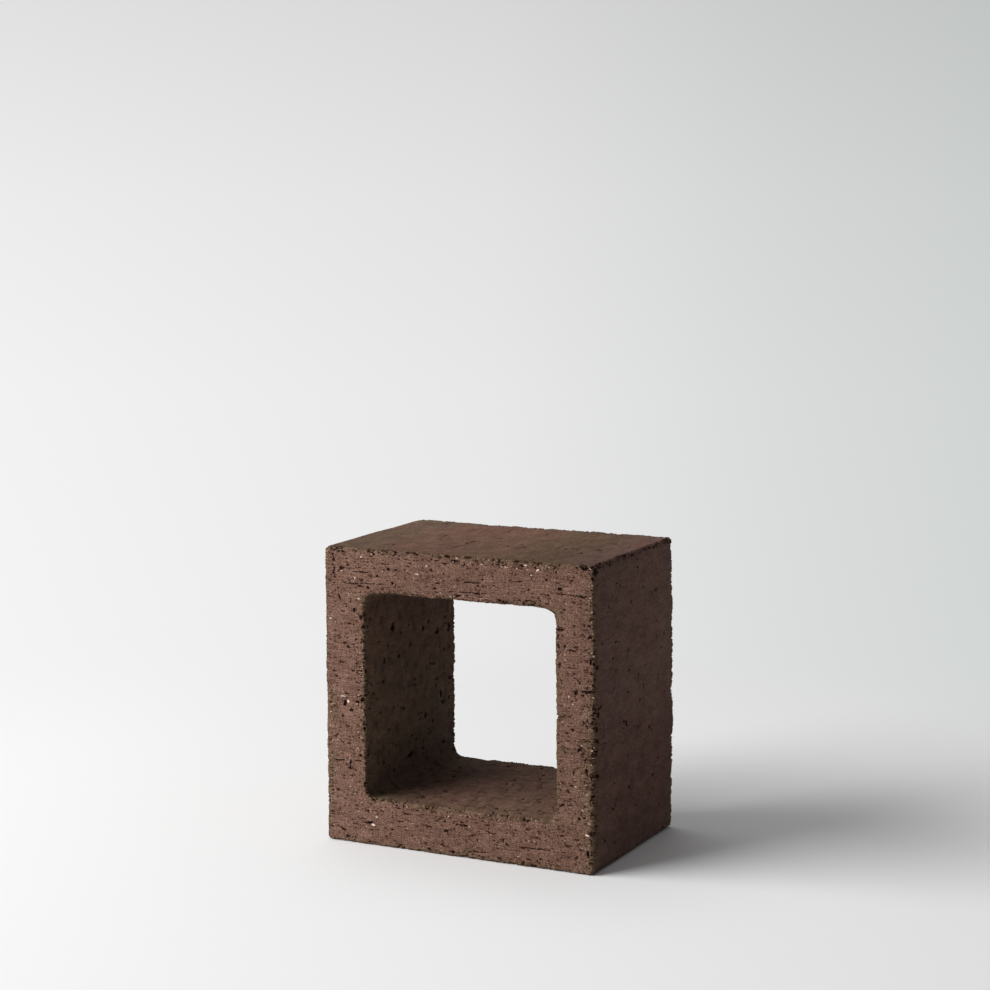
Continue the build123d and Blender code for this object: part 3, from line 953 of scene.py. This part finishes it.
# Painted shade: the cut faces darken from their left end to the middle, where the lamp's light falls off.
CUT_SHADE_ACROSS = [(0.0, "#FFFAFD"), (0.18, "#FDF8FB"), (0.4, "#F0EBEE"), (1.0, "#F0EBEE")]
PATCH_TINTS = [
    (0.3, "#F3F1F7"), (0.4, "#F9F5F7"), (0.48, "#FCF7F6"), (0.56, "#FAF8F6"), (0.66, "#F5F6F2"),
]
SMUDGES = [(0.32, "#BEBEBE"), (0.46, "#F6F6F6"), (0.57, "#FFFFFF")]
ARRIS_TINT = [(0.0, "#FFFFFF"), (1.0, "#E2EADD")]
PALER_UPWARD = 0.001
PATCH_SIZE = 42
PATCH_WANDER = {"To Min": -0.1, "To Max": 0.1}
SMUDGE_SCALE = (1 / 8, 1 / 6, 1 / 10)
inner_share = add(tree, "ShaderNodeAttribute", attribute_name="inner", out="Fac")
body_parts = add(tree, "ShaderNodeSeparateXYZ", {0: body_mm})
body_y, body_z = body_parts.node.outputs[1:]
links = {"Value": body_parts, "From Min": low.x, "From Max": high.x}
across_block = add(tree, "ShaderNodeMapRange", links)
through_block = add(tree, "ShaderNodeMapRange", {"Value": body_y, "From Min": low.y, "From Max": high.y})
above_shelf = add(tree, "ShaderNodeMath", {0: body_z, 1: WALL_BOTTOM}, operation="SUBTRACT")
links = {0: above_shelf, 1: PALER_UPWARD, 2: across_block}
across_inside = add(tree, "ShaderNodeMath", links, operation="MULTIPLY_ADD")
patch_place = add(tree, "ShaderNodeVectorMath", {0: body_mm, 1: (1 / PATCH_SIZE,) * 3}, operation="MULTIPLY")
links = {"Vector": patch_place, "Scale": 1.0, "Detail": 3.0, "Distortion": 0.6}
patch = add(tree, "ShaderNodeTexNoise", links)
wander = add(tree, "ShaderNodeMapRange", {"Value": patch, **PATCH_WANDER})
from_right = add(tree, "ShaderNodeMath", {0: 1.0, 1: across_block}, operation="SUBTRACT")
links = {0: wander, 1: from_right, 2: across_block}
across_skin = add(tree, "ShaderNodeMath", links, operation="MULTIPLY_ADD")
up_block = add(tree, "ShaderNodeMapRange", {"Value": body_z, "From Min": low.z, "From Max": high.z})
# The skins' tint, with the painted shade of the right end.
skin_tint_and_shade = add(tree, "ShaderNodeValToRGB", {0: across_skin}, stops=SKIN_HUE_AND_SHADE)
for share_along, stops in ((through_block, SKIN_TINT_BACKWARD), (up_block, SKIN_TINT_UPWARD)):
    along_tint = add(tree, "ShaderNodeValToRGB", {0: share_along}, stops=stops)
    skin_tint_and_shade = add(tree, "ShaderNodeMix", {0: 1.0, 6: skin_tint_and_shade, 7: along_tint}, **TINTING)
smudge_place = add(tree, "ShaderNodeVectorMath", {0: body_mm, 1: SMUDGE_SCALE}, operation="MULTIPLY")
smudge = add(tree, "ShaderNodeTexNoise", {"Vector": smudge_place, "Scale": 1.0, "Detail": 4.0})
smudge = add(tree, "ShaderNodeValToRGB", {0: smudge}, stops=SMUDGES)
# Painted shade inside the opening, with its smudges.
inside_shade_and_smudges = add(tree, "ShaderNodeValToRGB", {0: across_inside}, stops=INSIDE_SHADE)
inside_shade_and_smudges = add(tree, "ShaderNodeMix", {0: 1.0, 6: inside_shade_and_smudges, 7: smudge}, **TINTING)
links = {0: inner_share, 6: skin_tint_and_shade, 7: inside_shade_and_smudges}
skin_tint_and_shade = add(tree, "ShaderNodeMix", links, **BLENDING)
patch_tint = add(tree, "ShaderNodeValToRGB", {0: patch}, stops=PATCH_TINTS)
skin_tint_and_shade = add(tree, "ShaderNodeMix", {0: 1.0, 6: skin_tint_and_shade, 7: patch_tint}, **TINTING)
# Painted shade across the cut faces.
cut_face_shade = add(tree, "ShaderNodeValToRGB", {0: across_block}, stops=CUT_SHADE_ACROSS)
clay_tint_and_shade = add(tree, "ShaderNodeMix", {0: cut_share, 6: skin_tint_and_shade, 7: cut_face_shade}, **BLENDING)
arris_tint = add(tree, "ShaderNodeValToRGB", {0: arris_share}, stops=ARRIS_TINT)
for tint in (clay_tint_and_shade, arris_tint):
    clay_colour = add(tree, "ShaderNodeMix", {0: 1.0, 6: clay_colour, 7: tint}, **TINTING)

# The relief that is too fine for the mesh, half a millimetre for one whole step of its height.
PORE_SUNK = -0.8
SPECK_PROUD = 0.2
RELIEF = 0.5
height = add(tree, "ShaderNodeMath", {0: pores, 1: PORE_SUNK, 2: height}, operation="MULTIPLY_ADD")
height = add(tree, "ShaderNodeMath", {0: specks, 1: SPECK_PROUD, 2: height}, operation="MULTIPLY_ADD")
relief = add(tree, "ShaderNodeBump", {"Height": height, "Distance": RELIEF * MM, "Strength": 1.0})
clay_surface = add(tree, "ShaderNodeBsdfPrincipled", {
    "Base Color": clay_colour,
    "Roughness": 0.92,
    "IOR": 1.5,
    "Specular IOR Level": 0.1,
    "Normal": relief,
})
tree.links.new(clay_surface, clay_output.inputs[0])
skin.materials.clear()
skin.materials.append(clay)
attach(block, "root")
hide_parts("screen_block")


# Crushed grog
# Pale grains of crushed fired clay, mixed into the body and laid bare on the cut faces. Each sits
# in the clay with one broken side level with the surface. The wire dragged a few into short trails.
# The larger grains of the front as they lie on this block: (x, z, length, height, paleness).
FRONT_GRAINS = [
    (-55.4, 175, 3.0, 2.8, 1.0), (-67.3, 186.3, 2.6, 1.4, 0.8), (-71.5, 172.6, 1.7, 1.7, 0.6),
    (-81.3, 176.6, 2.2, 1.0, 0.6), (-59.8, 182, 1.6, 1.2, 0.3), (-60, 164.8, 1.4, 1.6, 0.6),
    (-69, 159.5, 2.2, 1.2, 0.6), (-76, 161.3, 1.8, 1.1, 0.4), (-89.7, 145.5, 2.6, 1.5, 1.0),
    (-77.9, 92.3, 1.9, 2.3, 1.0), (-60.7, 13.5, 3.2, 1.6, 0.9), (-58.2, 19, 2.3, 1.8, 0.5),
    (-27, 178.2, 3.7, 1.1, 0.6), (-20, 183.9, 2.4, 1.2, 0.5), (13.2, 190.6, 1.4, 1.6, 0.6),
    (48.7, 189.3, 3.2, 1.3, 0.6), (56.6, 186.4, 4.4, 1.4, 0.9), (52.5, 183.5, 2.2, 1.0, 0.4),
    (77.9, 186.8, 1.6, 1.9, 0.7), (82.3, 180, 1.6, 1.2, 0.4), (90.7, 170.8, 1.6, 1.4, 0.7),
    (80, 106, 1.6, 1.2, 0.4), (77.4, 110.5, 1.2, 2.0, 0.5), (8.6, 20.6, 1.4, 1.7, 0.6),
    (9.8, 27.3, 2.8, 1.1, 0.5), (18, 27.6, 2.2, 1.2, 0.4), (12.3, 8, 2.1, 1.1, 0.4),
    (-6, 25.7, 2.2, 1.1, 0.4), (82, 55, 2.2, 1.3, 0.5), (89.6, 25.2, 4.2, 1.3, 0.9),
    (86.3, 17, 1.7, 1.2, 0.4), (53.8, 17, 1.8, 1.2, 0.4), (42.5, 6, 2.1, 1.2, 0.4),
    (-80.5, 13.7, 3.0, 1.1, 0.3), (-71, 72.8, 2.2, 1.1, 0.4), (-68.5, 112, 3.0, 0.9, 0.4),
]
# A trail is (x, z, length, grains in it, paleness).
FRONT_TRAILS = [
    (-66, 176.9, 12, 12, 0.4), (-82, 95.5, 4, 3, 0.5), (-62, 181.8, 6, 3, 0.4), (-70, 112, 5, 3, 0.2),
    (49, 17, 4, 2, 0.2),
]
# Grains for each pit of a crumbly strip, and what they and a trail's grains are like: lengths, the
# height as a share of the length, and paleness. A trail's grains lie a little out of line.
STRIP_GRAINS = 0.4
STRIP_LENGTHS = (0.9, 2.2)
STRIP_SHAPE = (0.4, 0.8)
STRIP_PALENESS = (0.0, 0.5)
TRAIL_LENGTHS = (1.4, 2.6)
TRAIL_HEIGHT = 1.1
TRAIL_WANDER = (0.3, 0.15)
RANDOM_GRAINS = 45
RANDOM_LENGTHS = (0.8, 1.9)
RANDOM_SHAPE = (0.6, 0.9)
RANDOM_PALENESS = (0.1, 0.5)
FROM_EDGES = 2


def grain_places(own_grains, trails, crumbly_strips):
    """The grains of one cut face: its own ones, those of its trails and strips, and random ones."""
    places = list(own_grains)
    for x0, x1, z0, z1, count in crumbly_strips:
        for _ in range(int(STRIP_GRAINS * count)):
            length = rng.uniform(*STRIP_LENGTHS)
            size = (length, length * rng.uniform(*STRIP_SHAPE), rng.uniform(*STRIP_PALENESS))
            places.append((rng.uniform(x0, x1), rng.uniform(z0, z1), *size))
    known = len(places)
    for trail_x, trail_z, length, count, pale in trails:
        for step in range(count):
            along = trail_x + length * ((step + 0.5) / count - 0.5) + rng.normal(0, TRAIL_WANDER[0])
            up = trail_z + rng.normal(0, TRAIL_WANDER[1])
            places.append((along, up, rng.uniform(*TRAIL_LENGTHS), TRAIL_HEIGHT, pale))
    while len(places) < known + RANDOM_GRAINS:
        place_x = rng.uniform(-high.x + FROM_EDGES, high.x - FROM_EDGES)
        place_z = rng.uniform(FROM_EDGES, high.z - FROM_EDGES)
        between_sides = abs(place_x) < high.x - WALL_LEFT + FROM_EDGES
        if between_sides and WALL_BOTTOM - FROM_EDGES < place_z < high.z - WALL_TOP + FROM_EDGES:
            continue
        length = rng.uniform(*RANDOM_LENGTHS)
        size = (length, length * rng.uniform(*RANDOM_SHAPE), rng.uniform(*RANDOM_PALENESS))
        places.append((place_x, place_z, *size))
    return places


# A grain starts as a ball of one millimetre, loses what lies beyond its flats, is drawn out to its
# size, and is cut level on the side that faces out.
GRAIN_RADIUS = 0.5
GRAIN_TILT = 0.3
GRAIN_FLATS = 6
FLAT_BEYOND = 0.36
GRAIN_THICKNESS = 0.9
GRAIN_LEVEL = 0.28
GRAIN_SUNK = 0.16
DEEPEST_SEAT = 1.2


def broken_grain(shape, seat, facing, length, height):
    """Adds one angular grain to a shape, sunk into the clay at its seat, and gives its points."""
    made = bmesh.ops.create_icosphere(shape, subdivisions=2, radius=GRAIN_RADIUS)["verts"]
    turn = Matrix.Rotation(rng.normal(0, GRAIN_TILT), 3, "Y")
    flats = rng.normal(size=(GRAIN_FLATS, 3))
    flats /= np.linalg.norm(flats, axis=1)[:, None]
    for point in made:
        place = np.array(point.co)
        for flat in flats:
            over = place @ flat - FLAT_BEYOND
            place -= flat * max(over, 0)
        sized = turn @ Vector((place[0] * length, place[1] * GRAIN_THICKNESS, place[2] * height))
        level = max(sized.y, -GRAIN_LEVEL) if facing < 0 else min(sized.y, GRAIN_LEVEL)
        point.co = (seat + Vector((sized.x, level - facing * GRAIN_SUNK, sized.z))) * MM
        for axis in range(3):
            point.co[axis] = min(max(point.co[axis], low[axis] * MM), high[axis] * MM)
    return made


bpy.context.view_layer.update()
grit = bmesh.new()
paleness = grit.verts.layers.float.new("paleness")
front_places = grain_places(FRONT_GRAINS, FRONT_TRAILS, CRUMBLY_STRIPS)
back_places = grain_places([], [], CRUMBLY_STRIPS[:2])
for facing, places in ((-1, front_places), (1, back_places)):
    for place_x, place_z, length, height_of_grain, pale in places:
        start = Vector((place_x, facing * 2 * high.y, place_z)) * MM
        found, seat, _, _ = block.ray_cast(start, Vector((0, -facing, 0)))
        if found and high.y - abs(seat.y) / MM < DEEPEST_SEAT:
            for point in broken_grain(grit, seat / MM, facing, length, height_of_grain):
                point[paleness] = pale
grain_mesh = bpy.data.meshes.new("crushed_grog")
grit.to_mesh(grain_mesh)
grit.free()
grains = bpy.data.objects.new("crushed_grog", grain_mesh)
bpy.context.scene.collection.objects.link(grains)

# Flecked from grain to grain, and within each, from the clay's own brown to a pale buff.
FLECKS_PER_MM = 1.6
FLECK_CONTRAST = 0.8
GROG_TONES = [(0.0, "#7C6154"), (0.5, "#AC9585"), (1.0, "#D9C9BA")]
grog, tree, grog_output = new_material("crushed_grog")
pale_share = add(tree, "ShaderNodeAttribute", attribute_name="paleness", out="Fac")
body_place = add(tree, "ShaderNodeTexCoord", out="Object")
links = {0: body_place, 1: (FLECKS_PER_MM / MM,) * 3}
fleck_place = add(tree, "ShaderNodeVectorMath", links, operation="MULTIPLY")
fleck = add(tree, "ShaderNodeTexNoise", {"Vector": fleck_place, "Scale": 1.0, "Detail": 2.0})
links = {0: fleck, 1: FLECK_CONTRAST, 2: -FLECK_CONTRAST / 2}
grog_tone = add(tree, "ShaderNodeMath", links, operation="MULTIPLY_ADD")
grog_tone = add(tree, "ShaderNodeMath", {0: grog_tone, 1: pale_share}, operation="ADD")
grog_colour = add(tree, "ShaderNodeValToRGB", {0: grog_tone}, stops=GROG_TONES)
links = {"Base Color": grog_colour, "Roughness": 0.85, "IOR": 1.5}
grog_surface = add(tree, "ShaderNodeBsdfPrincipled", links)
tree.links.new(grog_surface, grog_output.inputs[0])
grain_mesh.materials.append(grog)
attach(grains, "root")


# Floor and sweep
# A white paper sweep: flat under the block and curving up all round, far behind it. Away from the
# block its light is painted on as a glow, which falls off towards the right and the top, as the one
# soft lamp on the left would leave it.
CENTRE_RADIUS = 0.05
FLOOR_RADIUS = 1.6
SWEEP_RADIUS = 3.0
SWEEP_BEND = 1.6
SWEEP_TOP = 4.5
ROUND_SWEEP = 128
UP_SWEEP = 24


def revolved(name, profile):
    """A surface of revolution about the upright axis, from (radius, height) in metres.

    It is closed in the middle where it starts close to the axis.
    """
    mesh = bpy.data.meshes.new(name)
    shape = bmesh.new()
    rings = []
    for radius, height in profile:
        ring = []
        for step in range(ROUND_SWEEP):
            angle = 2 * pi * step / ROUND_SWEEP
            ring.append(shape.verts.new((radius * cos(angle), radius * sin(angle), height)))
        rings.append(ring)
    for lower, upper in zip(rings, rings[1:]):
        for step in range(ROUND_SWEEP):
            follow = (step + 1) % ROUND_SWEEP
            shape.faces.new((lower[step], lower[follow], upper[follow], upper[step]))
    if profile[0][0] <= CENTRE_RADIUS:
        shape.faces.new(rings[0][::-1])
    for face in shape.faces:
        face.smooth = True
    shape.to_mesh(mesh)
    shape.free()
    thing = bpy.data.objects.new(name, mesh)
    bpy.context.scene.collection.objects.link(thing)
    return thing


floor = revolved("floor", [(CENTRE_RADIUS, 0), (FLOOR_RADIUS, 0)])
bend = [(FLOOR_RADIUS, 0), (SWEEP_RADIUS, 0)]
for step in range(1, UP_SWEEP + 1):
    angle = pi / 2 * step / UP_SWEEP
    bend.append((SWEEP_RADIUS + SWEEP_BEND * sin(angle), SWEEP_BEND * (1 - cos(angle))))
bend.append((SWEEP_RADIUS + SWEEP_BEND, SWEEP_TOP))
sweep = revolved("sweep", bend)
sweep.visible_diffuse = False
sweep.visible_shadow = False

# The photographer's place, in metres, and the way it looks: turned, tipped down and rolled.
VIEW_TURN = radians(27.157)
VIEW_TIP = radians(8.103)
VIEW_ROLL = radians(-0.451)
VIEW_DISTANCE = 1.5431
VIEW_SHIFT = (0.003592, -0.125356)
AIM = Vector((0, 0, 0.095))
backward = Vector((sin(VIEW_TURN) * cos(VIEW_TIP), -cos(VIEW_TURN) * cos(VIEW_TIP), sin(VIEW_TIP)))
level = Vector((cos(VIEW_TURN), sin(VIEW_TURN), 0))
upright = backward.cross(level)
rightward = level * cos(VIEW_ROLL) + upright * sin(VIEW_ROLL)
upward = upright * cos(VIEW_ROLL) - level * sin(VIEW_ROLL)
stand = AIM + backward * VIEW_DISTANCE - rightward * VIEW_SHIFT[0] - upward * VIEW_SHIFT[1]

# The paper under the block is plain and takes its shadow. From where the shadow ends, in metres from
# the block, it goes over to painted light: a glow in the tones that the lamp would leave on it, read
# along two fixed directions from the same place, upwards and to the right, as slopes between two
# equal ones. Paper nearer than the nearest distance is read as if it lay there.
FLOOR_WHITE = 0.835
SHADOW_ENDS = 0.36
PAINTED_LIGHT_TAKES_OVER = 0.66
SLOPE_EDGE = 0.2066
NEAREST = 1.1
UPWARD_PAINTED_LIGHT = [
    (0.0, "#F9F9F9"), (0.14, "#F8F8F8"), (0.35, "#F4F4F4"), (0.6, "#F2F2F2"), (0.8, "#ECECEC"),
    (1.0, "#E1E1E1"),
]
RIGHTWARD_PAINTED_LIGHT = [(0.0, "#FFFFFF"), (0.5, "#F4F4F4"), (0.73, "#E8E9E9"), (1.0, "#DCE0DF")]
for thing in (floor, sweep):
    paper, tree, paper_output = new_material("paper_" + thing.name)
    place = add(tree, "ShaderNodeNewGeometry")
    offset = add(tree, "ShaderNodeVectorMath", {0: place, 1: tuple(stand)}, operation="SUBTRACT")
    links = {0: offset, 1: tuple(-backward)}
    away = add(tree, "ShaderNodeVectorMath", links, out=1, operation="DOT_PRODUCT")
    away = add(tree, "ShaderNodeMath", {0: away, 1: NEAREST}, operation="MAXIMUM")
    tone = (1, 1, 1, 1)
    for direction, stops in ((upward, UPWARD_PAINTED_LIGHT), (rightward, RIGHTWARD_PAINTED_LIGHT)):
        links = {0: offset, 1: tuple(direction)}
        along = add(tree, "ShaderNodeVectorMath", links, out=1, operation="DOT_PRODUCT")
        slope = add(tree, "ShaderNodeMath", {0: along, 1: away}, operation="DIVIDE")
        links = {"Value": slope, "From Min": -SLOPE_EDGE, "From Max": SLOPE_EDGE}
        share_along = add(tree, "ShaderNodeMapRange", links)
        falling = add(tree, "ShaderNodeValToRGB", {0: share_along}, stops=stops)
        tone = add(tree, "ShaderNodeMix", {0: 1.0, 6: tone, 7: falling}, **TINTING)
    # Painted light: the paper glows in the lamp's falloff, where it is seen.
    painted_glow = add(tree, "ShaderNodeEmission", {"Color": tone, "Strength": 1.0})
    dull = add(tree, "ShaderNodeBsdfDiffuse", {"Color": (FLOOR_WHITE,) * 3 + (1,)})
    far = 1.0
    if thing is floor:
        from_block = add(tree, "ShaderNodeVectorMath", {0: place}, out=1, operation="LENGTH")
        links = {"Value": from_block, "From Min": SHADOW_ENDS, "From Max": PAINTED_LIGHT_TAKES_OVER}
        far = add(tree, "ShaderNodeMapRange", links, interpolation_type="SMOOTHSTEP")
        seen = 0.0
        for ray in ("Is Camera Ray", "Is Glossy Ray", "Is Transmission Ray"):
            ray_is = add(tree, "ShaderNodeLightPath", out=ray)
            seen = add(tree, "ShaderNodeMath", {0: seen, 1: ray_is}, operation="MAXIMUM")
        far = add(tree, "ShaderNodeMath", {0: far, 1: seen}, operation="MULTIPLY")
    whole = add(tree, "ShaderNodeMixShader", {0: far, 1: dull, 2: painted_glow})
    tree.links.new(whole, paper_output.inputs[0])
    thing.data.materials.append(paper)


# Light and camera
# One large soft lamp stands on the left in front, from knee height to above a head, and a weaker
# one hangs overhead. The white room fills the shadows a little. The camera is a short telephoto at
# the photograph's place. A lamp is (name, turn, rise, metres away, size, watts).
LAMPS = [
    ("soft_lamp", radians(218), radians(28), 3.4, (2.95, 2.45), 188.0),
    ("overhead_lamp", radians(140), radians(72), 2.3, (1.4, 1.4), 10.0),
]
WORLD_LEVEL = 0.185

for name, turn, rise, away, size, watts in LAMPS:
    lamp = bpy.data.lights.new(name, "AREA")
    lamp.shape = "RECTANGLE"
    lamp.size, lamp.size_y = size
    lamp.energy = watts
    lamp_stand = bpy.data.objects.new(name, lamp)
    direction = Vector((cos(turn) * cos(rise), sin(turn) * cos(rise), sin(rise)))
    lamp_stand.location = AIM + direction * away
    lamp_stand.rotation_euler = direction.to_track_quat("Z", "Y").to_euler()
    bpy.context.scene.collection.objects.link(lamp_stand)

world = bpy.data.worlds.new("white_room")
bpy.context.scene.world = world
world.use_nodes = True
world.node_tree.nodes["Background"].inputs["Color"].default_value = colour("#FFFFFF")
world.node_tree.nodes["Background"].inputs["Strength"].default_value = WORLD_LEVEL

SENSOR = 36.0
FOCAL_PIXELS = 2395.61
PICTURE_WIDTH = 990
lens = bpy.data.cameras.new("camera")
lens.sensor_width = SENSOR
lens.lens = FOCAL_PIXELS * SENSOR / PICTURE_WIDTH
camera = bpy.data.objects.new("camera", lens)
axes = Matrix((rightward, upward, backward)).transposed().to_4x4()
camera.matrix_world = Matrix.Translation(stand) @ axes
bpy.context.scene.collection.objects.link(camera)
bpy.context.scene.camera = camera
bpy.context.scene.view_settings.view_transform = "Standard"
